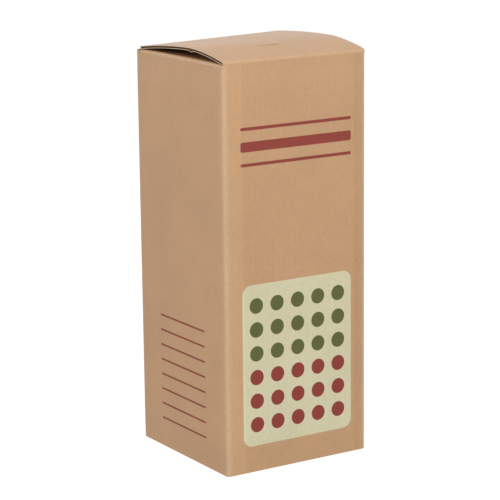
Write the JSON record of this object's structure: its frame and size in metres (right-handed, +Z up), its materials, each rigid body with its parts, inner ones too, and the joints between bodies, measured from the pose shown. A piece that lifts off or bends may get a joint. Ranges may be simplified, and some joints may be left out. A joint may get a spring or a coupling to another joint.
{
  "type": "hand mister in carton",
  "caption": "Tall printed kraft carton of corrugated board with a tuck-in lid, holding a glass bottle mister with a brass plunger pump.",
  "frame": {"origin": "centre of the carton's base, on the surface it stands on", "axes": "+Z up, -Y out of the printed front panel, +X to the right of the front panel"},
  "size_m": [0.085, 0.084, 0.2156],
  "materials": {
    "kraft_board": "matte printed kraft liner",
    "clear_glass": "clear, smooth",
    "brass": "satin, turned",
    "pump_plastic": "moulded",
    "clear_tube": "translucent extruded tube",
    "seal_rubber": "moulded",
    "steel": "drawn wire and ground balls"
  },
  "bodies": {
    "carton": {"front_panel": "kraft_board", "back_panel": "kraft_board", "left_panel": "kraft_board", "right_panel": "kraft_board", "glue_flap": "kraft_board", "bottom_cover": "kraft_board", "bottom_tuck_flap": "kraft_board", "bottom_dust_flap_left": "kraft_board", "bottom_dust_flap_right": "kraft_board"},
    "lid": {"lid_panel": "kraft_board"},
    "tab": {"thumb_tab": "kraft_board"},
    "tuck": {"tuck_flap": "kraft_board"},
    "flap_left": {"dust_flap_left": "kraft_board"},
    "flap_right": {"dust_flap_right": "kraft_board"},
    "bottle": {"glass_bottle": "clear_glass"},
    "seal": {"collar_gasket": "seal_rubber"},
    "pump": {"screw_collar": "brass", "pump_head": "brass", "gland_nut": "brass", "gland_seal": "seal_rubber", "delivery_sleeve": "pump_plastic", "pump_barrel": "pump_plastic", "valve_body": "pump_plastic", "ball_cage": "pump_plastic", "dip_tube": "clear_tube", "spray_arm": "brass", "outlet_spring": "steel", "swirl_core": "pump_plastic", "return_spring": "steel"},
    "plunger": {"piston": "pump_plastic", "piston_seal": "seal_rubber", "plunger_rod": "brass", "plunger_knob": "brass"},
    "inlet_valve": {"inlet_ball": "steel"},
    "outlet_valve": {"outlet_ball": "steel"},
    "nozzle": {"nozzle_cap": "brass"}
  },
  "joints": [
    {"name": "mister_lift", "type": "slide", "parent": "carton", "child": "bottle", "axis": [0, 0, 1], "range_m": [0, 0.15]},
    {"name": "lid_open", "type": "hinge", "parent": "carton", "child": "lid", "pos_m": [0, -0.042, 0.21], "axis": [1, 0, 0], "range_deg": [0, 200.01]},
    {"name": "tuck_flap_fold", "type": "hinge", "parent": "lid", "child": "tuck", "pos_m": [0, 0.0402, 0.2109], "axis": [1, 0, 0], "range_deg": [0, 24.01]},
    {"name": "thumb_tab_lift", "type": "hinge", "parent": "lid", "child": "tab", "pos_m": [0, -0.0125, 0.2153], "axis": [-1, 0, 0], "range_deg": [0, 70], "stiffness_Nm_per_rad": 0.002},
    {"name": "dust_flap_left_open", "type": "hinge", "parent": "carton", "child": "flap_left", "pos_m": [-0.0425, 0, 0.2096], "axis": [0, -1, 0], "range_deg": [0, 110.01]},
    {"name": "dust_flap_right_open", "type": "hinge", "parent": "carton", "child": "flap_right", "pos_m": [0.0425, 0, 0.2096], "axis": [0, 1, 0], "range_deg": [0, 110.01]},
    {"name": "pump_rise", "type": "slide", "parent": "bottle", "child": "seal", "axis": [0, 0, 1], "range_m": [0, 0.00635]},
    {"name": "pump_unscrew", "type": "hinge", "parent": "seal", "child": "pump", "pos_m": [0, 0, 0.1282], "axis": [0, 0, 1], "range_deg": [0, 540]},
    {"name": "plunger_stroke", "type": "slide", "parent": "pump", "child": "plunger", "axis": [0, 0, -1], "range_m": [0, 0.018], "stiffness_N_per_m": 150, "springref_m": -0.01, "deforming": ["return_spring"]},
    {"name": "inlet_ball_lift", "type": "slide", "parent": "pump", "child": "inlet_valve", "axis": [0, 0, 1], "range_m": [0, 0.0015]},
    {"name": "outlet_ball_lift", "type": "slide", "parent": "pump", "child": "outlet_valve", "axis": [0, -1, 0], "range_m": [0, 0.001], "stiffness_N_per_m": 20, "springref_m": -0.0005},
    {"name": "nozzle_cap_turn", "type": "hinge", "parent": "pump", "child": "nozzle", "pos_m": [0, -0.028, 0.153], "axis": [0, -1, 0], "range_deg": [0, 270]}
  ],
  "couplings": [
    {"joint": "lid_open", "follows": "mister_lift", "rad_per_m": 23.271},
    {"joint": "tuck_flap_fold", "follows": "mister_lift", "rad_per_m": 2.7925},
    {"joint": "dust_flap_left_open", "follows": "mister_lift", "rad_per_m": 12.799},
    {"joint": "dust_flap_right_open", "follows": "mister_lift", "rad_per_m": 12.799},
    {"joint": "pump_rise", "follows": "pump_unscrew", "m_per_rad": 0.00067323}
  ]
}
